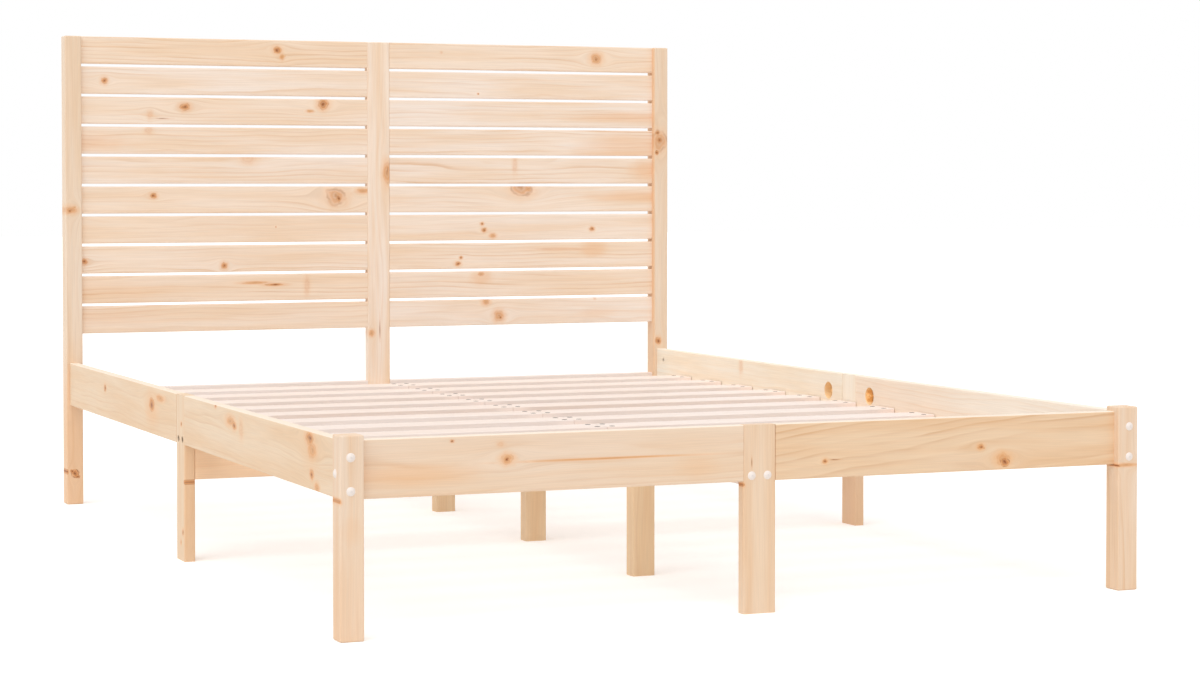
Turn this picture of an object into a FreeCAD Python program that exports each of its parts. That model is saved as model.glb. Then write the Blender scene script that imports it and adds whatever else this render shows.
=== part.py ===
import FreeCAD, Part
import os
import re

# A rustic pine double bed frame that packs flat: every long board is split in two at the middle.
# X is across the bed, +Y runs from the foot to the headboard and +Z is up. The origin lies on the
# floor, in the middle of the frame. All sizes are millimetres.

doc = FreeCAD.newDocument("PineBedFrame")

# Driving sizes, one row of the sheet each.
sizes = [
    ("frameLength", 1970.0, "foot legs' front faces to headboard posts' back faces"),
    ("frameWidth", 1405.0, "across the outer faces of the corner legs"),
    ("headHeight", 1000.0, "floor to the top of the headboard"),
    ("footHeight", 310.0, "floor to the top of the foot corner legs"),
    ("legSide", 38.0, "square section of the foot corner legs"),
    ("postWidth", 35.0, "headboard side post, across the bed"),
    ("postDepth", 38.0, "headboard side post, along the bed"),
    ("legRound", 2.5, "rounded edges of the legs and posts"),
    ("railHeight", 90.0, "side and foot rails, top to bottom"),
    ("railThickness", 20.0, "side and foot rails"),
    ("legProud", 8.0, "foot legs' tops above the rails"),
    ("railRound", 2.5, "rounded long edges of the rails"),
    ("sideSetback", 7.0, "side rails' outer faces behind the legs' outer faces"),
    ("footSetback", 14.0, "foot rails' front faces behind the legs' front faces"),
    ("midLegWidth", 57.0, "flat legs in the middle of the sides and the foot"),
    ("midPostWidth", 52.0, "middle post of the headboard"),
    ("midPostDepth", 20.0, "middle post of the headboard, along the bed"),
    ("ledgeWidth", 35.0, "slat ledges inside the side rails"),
    ("ledgeHeight", 24.0, "slat ledges, flush with the rails' undersides"),
    ("ledgeEndGap", 60.0, "ledge end to the rail's end, clear of the barrel nuts"),
    ("ledgeRound", 1.5, "rounded long edges of the ledges"),
    ("slatWidth", 70.0, "bed slat"),
    ("slatThickness", 12.0, "bed slat"),
    ("slatEndSpace", 128.5, "foot rails' inner faces to the first bed slat"),
    ("slatRound", 1.5, "rounded long edges of the bed slats"),
    ("slatGap", 0.8, "between the two half slats of a row"),
    ("slatEndGap", 2.0, "half slat's outer end to the side rail"),
    ("beamWidth", 57.0, "centre beam"),
    ("beamHeight", 30.0, "centre beam"),
    ("beamRound", 2.0, "rounded long edges of the centre and cross beams"),
    ("crossThickness", 28.0, "cross beam under the centre beam"),
    ("crossHeight", 57.0, "cross beam"),
    ("centreLegWidth", 42.0, "centre legs, across the bed"),
    ("centreLegDepth", 30.0, "centre legs, along the bed"),
    ("centreLegPitch", 513.5, "centre leg to centre leg"),
    ("headSlatRise", 116.2, "lowest headboard slat above the tops of the bed slats"),
    ("headSlatThickness", 18.0, "headboard slat"),
    ("headSlatSpace", 6.2, "between two headboard slats"),
    ("headSlatRound", 2.5, "rounded long edges of the headboard slats"),
    ("headRailHeight", 36.0, "low rail between the headboard posts"),
    ("headRailDrop", 2.0, "low head rail's top below the tops of the bed slats"),
    ("boltRadius", 3.0, "M6 bolts and rods"),
    ("boltHeadRadius", 6.0, "socket head"),
    ("boltHeadLength", 6.0, "socket head"),
    ("boltLength", 80.0, "frame bolt under its head"),
    ("beamBoltLength", 60.0, "centre beam bolt under its head"),
    ("ledgeBoltLength", 40.0, "ledge bolt under its head"),
    ("socketRadius", 2.9, "hexagon socket, to its corners"),
    ("socketDepth", 3.0, "hexagon socket"),
    ("recessDepth", 8.0, "counterbore of a bolt"),
    ("lowBoltRise", 14.0, "lower frame bolt above the rail's underside"),
    ("highBoltDrop", 25.0, "upper frame bolt below the rail's top"),
    ("nutInset", 36.0, "barrel nut from the end of its rail"),
    ("nutRadius", 5.0, "barrel nut"),
    ("nutLength", 14.0, "barrel nut"),
    ("beamBoltSpacing", 28.0, "between the two bolts of a beam end"),
    ("ledgeBoltSpacing", 28.0, "between the two bolts of a side leg"),
    ("ledgeBoltRise", 9.0, "ledge bolt above the rail's underside"),
    ("capRadius", 7.0, "white cover cap"),
    ("capHeight", 3.0, "white cover cap, proud of the wood"),
    ("capPlugLength", 1.5, "cap's plug in the counterbore"),
    ("pocketRadius", 17.5, "round pocket in the rails beside a middle leg"),
    ("pocketDepth", 16.0, "round pocket, from the rail's inner face"),
    ("pocketInset", 59.0, "pocket's centre from the rail's end"),
    ("pocketDrop", 38.0, "pocket's centre below the rail's top"),
    ("rodInset", 8.0, "rod's axis from the rail's inner face"),
    ("rodTail", 4.0, "rod past its nut"),
    ("moonThickness", 5.0, "half-moon washer, along the rod"),
    ("moonHeight", 12.0, "half-moon washer, into the pocket"),
    ("hexNutRadius", 5.7, "hexagon nut, to its corners"),
    ("hexNutLength", 5.0, "hexagon nut"),
    ("dowelRadius", 4.0, "wooden dowel"),
    ("dowelLength", 30.0, "wooden dowel"),
    ("dowelBevel", 0.8, "bevelled ends of a dowel"),
    ("headDowelDepth", 15.0, "dowel in a headboard post"),
    ("thinDowelDepth", 12.0, "dowel in a middle leg or behind a bolt"),
    ("headDowelSpacing", 28.0, "between the two dowels of a headboard slat's end"),
    ("crossDowelSpacing", 28.0, "between the two dowels of a cross beam's end"),
    ("headRailDowelDrop", 9.0, "dowel below the low head rail's top"),
    ("screwRadius", 2.0, "slat and ledge screws"),
    ("screwHeadRadius", 5.4, "slat and ledge screws"),
    ("screwHeadDepth", 3.0, "countersunk head of a slat or ledge screw"),
    ("slatScrewLength", 30.0, "slat screw"),
    ("ledgeScrewLength", 48.0, "ledge screw"),
    ("slatScrewSpacing", 45.0, "between the two screws of a slat's end"),
    ("beamScrewInset", 14.1, "slat screws from the slat's inner end"),
    ("ledgeScrewInset", 17.0, "slat screws from the slat's outer end"),
    ("legScrewRadius", 2.5, "long screws of the centre legs and beams"),
    ("legScrewHeadRadius", 4.6, "long screws"),
    ("legScrewHeadDepth", 3.0, "countersunk head of a long screw"),
    ("legScrewLength", 50.0, "long screw"),
    ("legScrewSpacing", 14.0, "between the two screws on top of a centre leg"),
    ("crossTopScrewSpacing", 40.0, "between the two screws into the cross beams' tops"),
    ("crossScrewSpacing", 19.0, "between the two screws into the centre leg's face"),
    ("crossScrewRise", 14.0, "those screws above the cross beam's underside"),
    ("headSink", 0.05, "screw head below the wood's surface"),
    ("slotWidth", 1.2, "cross recess of a screw"),
    ("slotDepth", 1.4, "cross recess of a screw"),
    ("fitClearance", 0.1, "dowels and screws in their holes, all round"),
    ("boltClearance", 0.3, "bolts, nuts and caps in their holes, all round"),
    ("endClearance", 0.5, "past the end of a fastener in a blind hole"),
    ("cutOverrun", 5.0, "how far a cutter runs out of the wood"),
]

# Counts.
slatRowsEachSide = 5
headSlatRows = 10

# Sizes worked out from the driving ones.
worked = [
    ("halfLength", "frameLength / 2"),
    ("halfWidth", "frameWidth / 2"),
    ("legInnerX", "halfWidth - legSide"),
    ("postInnerX", "halfWidth - postWidth"),
    ("legBackY", "halfLength - legSide"),
    ("postFrontY", "halfLength - postDepth"),
    ("railOuterX", "halfWidth - sideSetback"),
    ("railInnerX", "railOuterX - railThickness"),
    ("railMidX", "railOuterX - railThickness / 2"),
    ("railTop", "footHeight - legProud"),
    ("railBottom", "railTop - railHeight"),
    ("footRailFrontY", "halfLength - footSetback"),
    ("footRailBackY", "footRailFrontY - railThickness"),
    ("footRailMidY", "footRailFrontY - railThickness / 2"),
    ("midLegHalf", "midLegWidth / 2"),
    ("midPostHalf", "midPostWidth / 2"),
    ("headMidY", "halfLength - postDepth / 2"),
    ("midPostFrontY", "headMidY - midPostDepth / 2"),
    ("midPostBackY", "headMidY + midPostDepth / 2"),
    ("slatBase", "railBottom + ledgeHeight"),
    ("slatTop", "slatBase + slatThickness"),
    ("slatPitch", f"(footRailBackY - slatEndSpace - slatWidth / 2) / {slatRowsEachSide}"),
    ("ledgeInnerX", "railInnerX - ledgeWidth"),
    ("beamBase", "slatBase - beamHeight"),
    ("beamMid", "slatBase - beamHeight / 2"),
    ("crossBase", "beamBase - crossHeight"),
    ("headRailTop", "slatTop - headRailDrop"),
    ("headRailBase", "headRailTop - headRailHeight"),
    ("headSlatPitch", f"(headHeight - slatTop - headSlatRise + headSlatSpace) / {headSlatRows}"),
    ("headSlatHeight", "headSlatPitch - headSlatSpace"),
    ("headSlatLength", "postInnerX - midPostHalf"),
    ("halfSlatLength", "railInnerX - slatEndGap - slatGap / 2"),
    ("lowBolt", "railBottom + lowBoltRise"),
    ("highBolt", "railTop - highBoltDrop"),
    ("middleBolt", "lowBolt / 2 + highBolt / 2"),
    ("ledgeMid", "railBottom + ledgeHeight / 2"),
    ("ledgeBolt", "railBottom + ledgeBoltRise"),
    ("pocketMid", "railTop - pocketDrop"),
    ("pocketPlace", "midLegHalf + pocketInset"),
    ("moonPlace", "pocketPlace - pocketRadius + moonThickness"),
    ("rodHalf", "moonPlace + hexNutLength + rodTail"),
    ("rodX", "railInnerX + rodInset"),
    ("rodY", "footRailBackY + rodInset"),
    ("boltHole", "boltRadius + boltClearance"),
    ("recessRadius", "boltHeadRadius + boltClearance"),
    ("nutHole", "nutRadius + boltClearance"),
    ("dowelHole", "dowelRadius + fitClearance"),
    ("screwHole", "screwRadius + fitClearance"),
    ("screwSeat", "screwHeadRadius + fitClearance"),
    ("legScrewHole", "legScrewRadius + fitClearance"),
    ("legScrewSeat", "legScrewHeadRadius + fitClearance"),
    ("ledgeLength", "legBackY - ledgeEndGap"),
]

sheet = doc.addObject("Spreadsheet::Sheet", "Sizes")
for row, (alias, value, note) in enumerate(sizes, start=1):
    sheet.set(f"A{row}", note)
    sheet.set(f"B{row}", str(value))
    sheet.setAlias(f"B{row}", alias)
for row, (alias, formula) in enumerate(worked, start=len(sizes) + 1):
    sheet.set(f"B{row}", "=" + formula)
    sheet.setAlias(f"B{row}", alias)
doc.recompute()

turns = {
    "+x": FreeCAD.Rotation(FreeCAD.Vector(0, 1, 0), 90),
    "-x": FreeCAD.Rotation(FreeCAD.Vector(0, 1, 0), -90),
    "+y": FreeCAD.Rotation(FreeCAD.Vector(1, 0, 0), -90),
    "-y": FreeCAD.Rotation(FreeCAD.Vector(1, 0, 0), 90),
    "+z": FreeCAD.Rotation(),
    "-z": FreeCAD.Rotation(FreeCAD.Vector(1, 0, 0), 180),
}
nodes = []


def bind(target, **texts):
    """Bind properties to formulas written in the sheet's aliases."""
    for prop, text in texts.items():
        formula = re.sub(r"[a-z][A-Za-z]+", lambda word: "Sizes." + word.group(), text)
        target.setExpression(prop.replace("_", "."), formula)


def place(target, x, y, z, turn=None):
    """Put an object at a point given by three formulas, turned if asked."""
    if turn is not None:
        target.Placement = FreeCAD.Placement(FreeCAD.Vector(), turn)
    for letter, text in zip("xyz", (x, y, z)):
        bind(target, **{f"Placement_Base_{letter}": text})


def node(shape_object, name):
    """Name a finished sub-part, which is written to its own file."""
    shape_object.Label = name
    nodes.append(shape_object)


def span(side, inner, outer):
    """Low and high formula of a stretch that lies on one side of the middle plane."""
    return (f"-({outer})", f"-({inner})") if side < 0 else (inner, outer)


def board(name, xs, ys, zs, rounding, along):
    """A board between low and high formulas, with its long edges or all its edges rounded."""
    body = doc.addObject("PartDesign::Body", name)
    block = body.newObject("PartDesign::AdditiveBox", name + "_block")
    bind(block, Length=f"{xs[1]} - ({xs[0]})", Width=f"{ys[1]} - ({ys[0]})", Height=f"{zs[1]} - ({zs[0]})")
    place(block, xs[0], ys[0], zs[0])
    doc.recompute()
    edges = []
    for number, edge in enumerate(block.Shape.Edges, start=1):
        direction = edge.tangentAt(edge.FirstParameter)
        if along == "all" or abs(getattr(direction, along)) > 0.5:
            edges.append(f"Edge{number}")
    rounded = body.newObject("PartDesign::Fillet", name + "_rounded")
    rounded.Base = (block, edges)
    bind(rounded, Radius=rounding)
    return body


def shift(point, way, text, sign):
    """The point moved by a formula against (-1) or along (1) a direction such as +x."""
    moved = list(point)
    axis = "xyz".index(way[1])
    steps = sign if way[0] == "+" else -sign
    moved[axis] = f"{moved[axis]} {'+' if steps > 0 else '-'} ({text})"
    return moved


def drill(body, name, radius, depth, point, way):
    """A round hole from a point on the surface, into the wood along a direction."""
    cutter = body.newObject("PartDesign::SubtractiveCylinder", f"{body.Name}_{name}")
    cutter.Refine = False
    bind(cutter, Radius=radius, Height=f"{depth} + cutOverrun")
    place(cutter, *shift(point, way, "cutOverrun", -1), turn=turns[way])
    return cutter


def seat(body, name, radius, hole, depth, point, way):
    """A countersunk seat whose wide mouth is at a point on the surface."""
    mouth = drill(body, name + "_mouth", radius, "headSink", point, way)
    cutter = body.newObject("PartDesign::SubtractiveCone", f"{body.Name}_{name}")
    cutter.Refine = False
    bind(cutter, Radius1=radius, Radius2=hole, Height=depth)
    place(cutter, *shift(point, way, "headSink", 1), turn=turns[way])
    return mouth, cutter


def repeat(body, name, drills, way, spacing, count):
    """Repeat holes in equal steps along a direction such as +z."""
    pattern = body.newObject("PartDesign::LinearPattern", f"{body.Name}_{name}")
    pattern.Refine = False
    pattern.Originals = drills
    role = way[1].upper() + "_Axis"
    axis = next(item for item in body.Origin.OriginFeatures if item.Role == role)
    pattern.Direction = (axis, [""])
    pattern.Reversed = way[0] == "-"
    pattern.Occurrences = count
    bind(pattern, Length=f"{spacing} * {count - 1}")
    body.Tip = pattern


def bolt_hole(body, name, depth, point, way):
    """A counterbore for a bolt's head and its clearance hole."""
    drill(body, name + "_recess", "recessRadius", "recessDepth", point, way)
    drill(body, name, "boltHole", depth, point, way)


def solid(name, kind, **texts):
    """A plain primitive with bound sizes."""
    item = doc.addObject(kind, name)
    bind(item, **texts)
    return item


def fuse(name, *items):
    joined = doc.addObject("Part::MultiFuse", name)
    joined.Shapes = list(items)
    return joined


def cut(name, base, tool):
    pared = doc.addObject("Part::Cut", name)
    pared.Base = base
    pared.Tool = tool
    return pared


def copies(name, placed):
    """One node of separate solids: links to the same piece, each at its own place."""
    group = doc.addObject("Part::Compound", name)
    links = []
    for number, (piece, x, y, z, turn) in enumerate(placed, start=1):
        link = doc.addObject("App::Link", f"{name}_{number}")
        link.LinkedObject = piece
        link.LinkTransform = True
        place(link, x, y, z, turn)
        links.append(link)
    group.Links = links
    node(group, name)


sides = {"left": -1, "right": 1}
ends = {"foot": -1, "head": 1}


# Foot corner legs: two bolts into the side rail, one into the foot rail.
def foot_leg(side_name, side):
    leg = board("foot_leg_" + side_name, span(side, "legInnerX", "halfWidth"),
                span(-1, "legBackY", "halfLength"), ("0", "footHeight"), "legRound", "all")
    for name, height in (("low", "lowBolt"), ("high", "highBolt")):
        bolt_hole(leg, name, "legSide", (f"{side} * railMidX", "-halfLength", height), "+y")
    inward = "+x" if side < 0 else "-x"
    bolt_hole(leg, "side", "legSide", (f"{side} * halfWidth", "-footRailMidY", "middleBolt"), inward)
    node(leg, "foot_leg_" + side_name)


# Headboard side posts: two bolts from behind, and a column of dowel holes for the slats.
def head_post(side_name, side):
    post = board("headboard_post_" + side_name, span(side, "postInnerX", "halfWidth"),
                 ("postFrontY", "halfLength"), ("0", "headHeight"), "legRound", "all")
    for name, height in (("low", "lowBolt"), ("high", "highBolt")):
        bolt_hole(post, name, "postDepth", (f"{side} * railMidX", "halfLength", height), "-y")
    outward = "-x" if side < 0 else "+x"
    face = f"{side} * postInnerX"
    drill(post, "rail_dowel", "dowelHole", "thinDowelDepth + endClearance",
          (face, "headMidY", "headRailTop - headRailDowelDrop"), outward)
    column(post, [("outer", face, outward)])
    node(post, "headboard_post_" + side_name)


def column(post, faces):
    """Two dowel holes for the lowest headboard slat on each face, repeated for every slat."""
    lowest = f"headHeight - headSlatHeight / 2 - headSlatPitch * {headSlatRows - 1}"
    for name, face, way in faces:
        for step in (-1, 1):
            label = f"{name}_dowel_{step + 1}"
            hole = drill(post, label, "dowelHole", "headDowelDepth + endClearance",
                         (face, "headMidY", f"{lowest} + {step} * headDowelSpacing / 2"), way)
            repeat(post, label + "_column", [hole], "+z", "headSlatPitch", headSlatRows)


# Middle post of the headboard: a flat board that also holds the centre beam's head end.
def middle_post():
    post = board("headboard_post_middle", ("-midPostHalf", "midPostHalf"),
                 ("midPostFrontY", "midPostBackY"), ("0", "headHeight"), "legRound", "all")
    for side in sides.values():
        bolt_hole(post, f"beam_{side + 1}", "midPostDepth",
                  (f"{side} * beamBoltSpacing / 2", "midPostBackY", "beamMid"), "-y")
        drill(post, f"rail_dowel_{side + 1}", "dowelHole", "thinDowelDepth + endClearance",
              (f"{side} * midPostHalf", "headMidY", "headRailTop - headRailDowelDrop"),
              "+x" if side < 0 else "-x")
    column(post, [("left", "-midPostHalf", "+x"), ("right", "midPostHalf", "-x")])
    node(post, "headboard_post_middle")


# Flat legs in the middle of each side, between the two halves of the side rail.
def side_leg(side_name, side):
    leg = board("side_leg_" + side_name, span(side, "railInnerX", "railOuterX"),
                ("-midLegHalf", "midLegHalf"), ("0", "railTop"), "legRound", "z")
    inward, outward = ("+x", "-x") if side < 0 else ("-x", "+x")
    drill(leg, "rod", "boltHole", "midLegWidth", (f"{side} * rodX", "-midLegHalf", "pocketMid"), "+y")
    for end in ends.values():
        bolt_hole(leg, f"ledge_{end + 1}", "railThickness",
                  (f"{side} * railOuterX", f"{end} * ledgeBoltSpacing / 2", "ledgeBolt"), inward)
        drill(leg, f"cross_{end + 1}", "dowelHole", "thinDowelDepth + endClearance",
              (f"{side} * railInnerX", "-crossThickness / 2",
               f"crossBase + crossHeight / 2 + {end} * crossDowelSpacing / 2"), outward)
    node(leg, "side_leg_" + side_name)


# Flat leg in the middle of the foot, with the two bolts of the centre beam.
def foot_middle_leg():
    leg = board("foot_leg_middle", ("-midLegHalf", "midLegHalf"),
                ("-footRailFrontY", "-footRailBackY"), ("0", "railTop"), "legRound", "z")
    drill(leg, "rod", "boltHole", "midLegWidth", ("-midLegHalf", "-rodY", "pocketMid"), "+x")
    for side in sides.values():
        bolt_hole(leg, f"beam_{side + 1}", "railThickness",
                  (f"{side} * beamBoltSpacing / 2", "-footRailFrontY", "beamMid"), "+y")
    node(leg, "foot_leg_middle")


# Side rails: bolt holes and barrel nuts at the corner, a rod and its pocket at the middle leg.
def side_rail(side_name, side, end_name, end):
    name = f"side_rail_{side_name}_{end_name}"
    rail = board(name, span(side, "railInnerX", "railOuterX"),
                 span(end, "midLegHalf", "legBackY" if end < 0 else "postFrontY"),
                 ("railBottom", "railTop"), "railRound", "y")
    corner = "-legBackY" if end < 0 else "postFrontY"
    inward, outward = ("+y", "-y") if end < 0 else ("-y", "+y")
    across = "-x" if side < 0 else "+x"
    face = f"{side} * railInnerX"
    tip = "boltLength + recessDepth - legSide" if end < 0 else "boltLength + recessDepth - postDepth"
    for label, height in (("low", "lowBolt"), ("high", "highBolt")):
        point = (f"{side} * railMidX", corner, height)
        drill(rail, label, "boltHole", f"{tip} + endClearance", point, inward)
        drill(rail, label + "_nut", "nutHole", "railThickness / 2 + nutLength / 2 + endClearance",
              (face, f"{corner} - {end} * nutInset", height), across)
    drill(rail, "pocket", "pocketRadius", "pocketDepth",
          (face, f"{end} * pocketPlace", "pocketMid"), across)
    drill(rail, "rod", "boltHole", "pocketInset",
          (f"{side} * rodX", f"{end} * midLegHalf", "pocketMid"), outward)
    pilot = "ledgeScrewLength + headSink - ledgeWidth + endClearance"
    for count, place_y in enumerate(ledge_screw_places(end)):
        drill(rail, f"ledge_{count}", "screwHole", pilot, (face, place_y, "ledgeMid"), across)
    node(rail, name)


def ledge_screw_places(end):
    """Screws along a ledge, in every second space between two slat rows."""
    return [f"{end} * (slatPitch * {row} + slatPitch / 2)" for row in range(0, slatRowsEachSide, 2)]


# Foot rails: one bolt at the corner leg, a rod and its pocket at the middle leg.
def foot_rail(side_name, side):
    rail = board("foot_rail_" + side_name, span(side, "midLegHalf", "legInnerX"),
                 ("-footRailFrontY", "-footRailBackY"), ("railBottom", "railTop"), "railRound", "x")
    inward, outward = ("+x", "-x") if side < 0 else ("-x", "+x")
    drill(rail, "bolt", "boltHole", "boltLength + recessDepth - legSide + endClearance",
          (f"{side} * legInnerX", "-footRailMidY", "middleBolt"), inward)
    drill(rail, "bolt_nut", "nutHole", "railThickness / 2 + nutLength / 2 + endClearance",
          (f"{side} * (legInnerX - nutInset)", "-footRailBackY", "middleBolt"), "-y")
    drill(rail, "pocket", "pocketRadius", "pocketDepth",
          (f"{side} * pocketPlace", "-footRailBackY", "pocketMid"), "-y")
    drill(rail, "rod", "boltHole", "pocketInset", (f"{side} * midLegHalf", "-rodY", "pocketMid"), outward)
    node(rail, "foot_rail_" + side_name)


# Low rails between the headboard posts, dowelled at both ends.
def head_rail(side_name, side):
    rail = board("head_rail_" + side_name, span(side, "midPostHalf", "postInnerX"),
                 ("midPostFrontY", "midPostBackY"), ("headRailBase", "headRailTop"), "railRound", "x")
    depth = "dowelLength - thinDowelDepth + endClearance"
    height = "headRailTop - headRailDowelDrop"
    drill(rail, "inner_dowel", "dowelHole", depth, (f"{side} * midPostHalf", "headMidY", height),
          "-x" if side < 0 else "+x")
    drill(rail, "outer_dowel", "dowelHole", depth, (f"{side} * postInnerX", "headMidY", height),
          "+x" if side < 0 else "-x")
    node(rail, "head_rail_" + side_name)


def slat_screw_places(end):
    """Every slat screw along one half of the bed, from the middle row outwards."""
    places = [f"{end} * slatScrewSpacing / 2"]
    for row in range(1, slatRowsEachSide + 1):
        for step in (-1, 1):
            places.append(f"{end} * (slatPitch * {row} + {step} * slatScrewSpacing / 2)")
    return places


def slat_pilots(body, end, places_x):
    """Pilot holes for the slat screws along one half of a ledge or beam."""
    depth = "slatScrewLength + headSink - slatThickness + endClearance"
    rows = slatRowsEachSide + 1
    for label, start, count in (("far", "slatScrewSpacing / 2", rows),
                                ("near", "slatPitch - slatScrewSpacing / 2", rows - 1)):
        first = [drill(body, f"{label}_pilot_{number}", "screwHole", depth,
                       (x, f"{end} * ({start})", "slatBase"), "-z")
                 for number, x in enumerate(places_x)]
        repeat(body, label + "_pilots", first, "-y" if end < 0 else "+y", "slatPitch", count)


outerScrewX = "(railInnerX - slatEndGap - ledgeScrewInset)"
innerScrewX = "(slatGap / 2 + beamScrewInset)"


# Slat ledges inside the side rails, one for each half of the rail.
def slat_ledge(side_name, side, end_name, end):
    name = f"slat_ledge_{side_name}_{end_name}"
    ledge = board(name, span(side, "ledgeInnerX", "railInnerX"), span(end, "0", "ledgeLength"),
                  ("railBottom", "slatBase"), "ledgeRound", "y")
    across = "-x" if side < 0 else "+x"
    inward = "+x" if side < 0 else "-x"
    for count, place_y in enumerate(ledge_screw_places(end)):
        point = (f"{side} * ledgeInnerX", place_y, "ledgeMid")
        seat(ledge, f"seat_{count}", "screwSeat", "screwHole", "screwHeadDepth", point, across)
        drill(ledge, f"screw_{count}", "screwHole", "ledgeWidth", point, across)
    slat_pilots(ledge, end, [f"{side} * {outerScrewX}"])
    drill(ledge, "bolt", "boltHole", "ledgeBoltLength + recessDepth - railThickness + endClearance",
          (f"{side} * railInnerX", f"{end} * ledgeBoltSpacing / 2", "ledgeBolt"), inward)
    node(ledge, name)


# Centre beam in two halves that meet over the cross beam and the middle centre leg.
def centre_beam(end_name, end):
    tip_face = "footRailBackY" if end < 0 else "midPostFrontY"
    shell = "railThickness" if end < 0 else "midPostDepth"
    beam = board("center_beam_" + end_name, ("-beamWidth / 2", "beamWidth / 2"),
                 span(end, "0", tip_face), ("beamBase", "slatBase"), "beamRound", "y")
    inward = "+y" if end < 0 else "-y"
    for side in sides.values():
        across = f"{side} * beamBoltSpacing / 2"
        drill(beam, f"bolt_{side + 1}", "boltHole", f"beamBoltLength + recessDepth - {shell} + endClearance",
              (across, f"{end} * {tip_face}", "beamMid"), inward)
        drill(beam, f"nut_{side + 1}", "nutHole", "beamHeight / 2 + nutLength / 2 + endClearance",
              (across, f"{end} * ({tip_face} - nutInset)", "beamBase"), "+z")
        for count, (x, y) in enumerate(leg_screw_places(end, side)):
            label = f"{side + 1}_{count}"
            point = (x, y, "slatBase")
            seat(beam, "leg_seat_" + label, "legScrewSeat", "legScrewHole", "legScrewHeadDepth", point, "-z")
            drill(beam, "leg_screw_" + label, "legScrewHole", "beamHeight", point, "-z")
    slat_pilots(beam, end, [f"{side} * {innerScrewX}" for side in sides.values()])
    node(beam, "center_beam_" + end_name)


def leg_screw_places(end, side):
    """Screws down through one half of the centre beam: into a leg, and into the middle support."""
    leg_y = f"({end} * centreLegPitch + centreLegDepth / 2)"
    over_leg = (f"{side} * legScrewSpacing / 2", leg_y)
    if end < 0:
        return [over_leg, (f"{side} * crossTopScrewSpacing / 2", "-crossThickness / 2")]
    return [over_leg, (f"{side} * legScrewSpacing / 2", "centreLegDepth / 2")]


# Centre legs under the beam; the middle one also carries the two cross beams.
def centre_leg(name, step):
    low = f"{step} * centreLegPitch"
    leg = board("center_leg_" + name, ("-centreLegWidth / 2", "centreLegWidth / 2"),
                (low, f"{low} + centreLegDepth"), ("0", "beamBase"), "legRound", "z")
    for side in sides.values():
        drill(leg, f"top_{side + 1}", "legScrewHole", "legScrewLength + headSink - beamHeight + endClearance",
              (f"{side} * legScrewSpacing / 2", f"{low} + centreLegDepth / 2", "beamBase"), "-z")
        if step == 0:
            drill(leg, f"cross_{side + 1}", "legScrewHole",
                  "legScrewLength + headSink - crossThickness + endClearance",
                  (f"{side} * crossScrewSpacing / 2", "0", "crossBase + crossScrewRise"), "+y")
    node(leg, "center_leg_" + name)


# Cross beams from the side legs to the middle centre leg.
def cross_beam(side_name, side):
    beam = board("cross_beam_" + side_name, span(side, "0", "railInnerX"),
                 ("-crossThickness", "0"), ("crossBase", "beamBase"), "beamRound", "x")
    point = (f"{side} * crossScrewSpacing / 2", "-crossThickness", "crossBase + crossScrewRise")
    seat(beam, "seat", "legScrewSeat", "legScrewHole", "legScrewHeadDepth", point, "+y")
    drill(beam, "screw", "legScrewHole", "crossThickness", point, "+y")
    drill(beam, "top", "legScrewHole", "legScrewLength + headSink - beamHeight + endClearance",
          (f"{side} * crossTopScrewSpacing / 2", "-crossThickness / 2", "beamBase"), "-z")
    for end in ends.values():
        drill(beam, f"dowel_{end + 1}", "dowelHole", "dowelLength - thinDowelDepth + endClearance",
              (f"{side} * railInnerX", "-crossThickness / 2",
               f"crossBase + crossHeight / 2 + {end} * crossDowelSpacing / 2"), "+x" if side < 0 else "-x")
    node(beam, "cross_beam_" + side_name)


# Headboard slats: one board shape, two to a row between the posts.
def headboard_slats():
    slat = board("headboard_slat", ("0", "headSlatLength"),
                 ("-headSlatThickness / 2", "headSlatThickness / 2"),
                 ("-headSlatHeight / 2", "headSlatHeight / 2"), "headSlatRound", "x")
    depth = "dowelLength - headDowelDepth + endClearance"
    for step in (-1, 1):
        height = f"{step} * headDowelSpacing / 2"
        drill(slat, f"left_{step + 1}", "dowelHole", depth, ("0", "0", height), "+x")
        drill(slat, f"right_{step + 1}", "dowelHole", depth, ("headSlatLength", "0", height), "-x")
    for row in range(headSlatRows):
        height = f"headHeight - headSlatHeight / 2 - headSlatPitch * {row}"
        copies(f"headboard_slat_row_{row + 1:02d}", [
            (slat, "-postInnerX", "headMidY", height, None),
            (slat, "midPostHalf", "headMidY", height, None),
        ])


# Bed slats: one half slat, laid from the ledge to the centre beam and turned about for the other half.
def bed_slats():
    slat = board("half_slat", ("0", "halfSlatLength"), ("-slatWidth / 2", "slatWidth / 2"),
                 ("0", "slatThickness"), "slatRound", "x")
    for label, x in (("beam", "beamScrewInset"), ("ledge", "halfSlatLength - ledgeScrewInset")):
        for step in (-1, 1):
            point = (x, f"{step} * slatScrewSpacing / 2", "slatThickness")
            seat(slat, f"{label}_seat_{step + 1}", "screwSeat", "screwHole", "screwHeadDepth", point, "-z")
            drill(slat, f"{label}_{step + 1}", "screwHole", "slatThickness", point, "-z")
    about = FreeCAD.Rotation(FreeCAD.Vector(0, 0, 1), 180)
    for row in range(-slatRowsEachSide, slatRowsEachSide + 1):
        copies(f"bed_slat_row_{row + slatRowsEachSide + 1:02d}", [
            (slat, "slatGap / 2", f"slatPitch * {row}", "slatBase", None),
            (slat, "-slatGap / 2", f"slatPitch * {row}", "slatBase", about),
        ])


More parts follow.
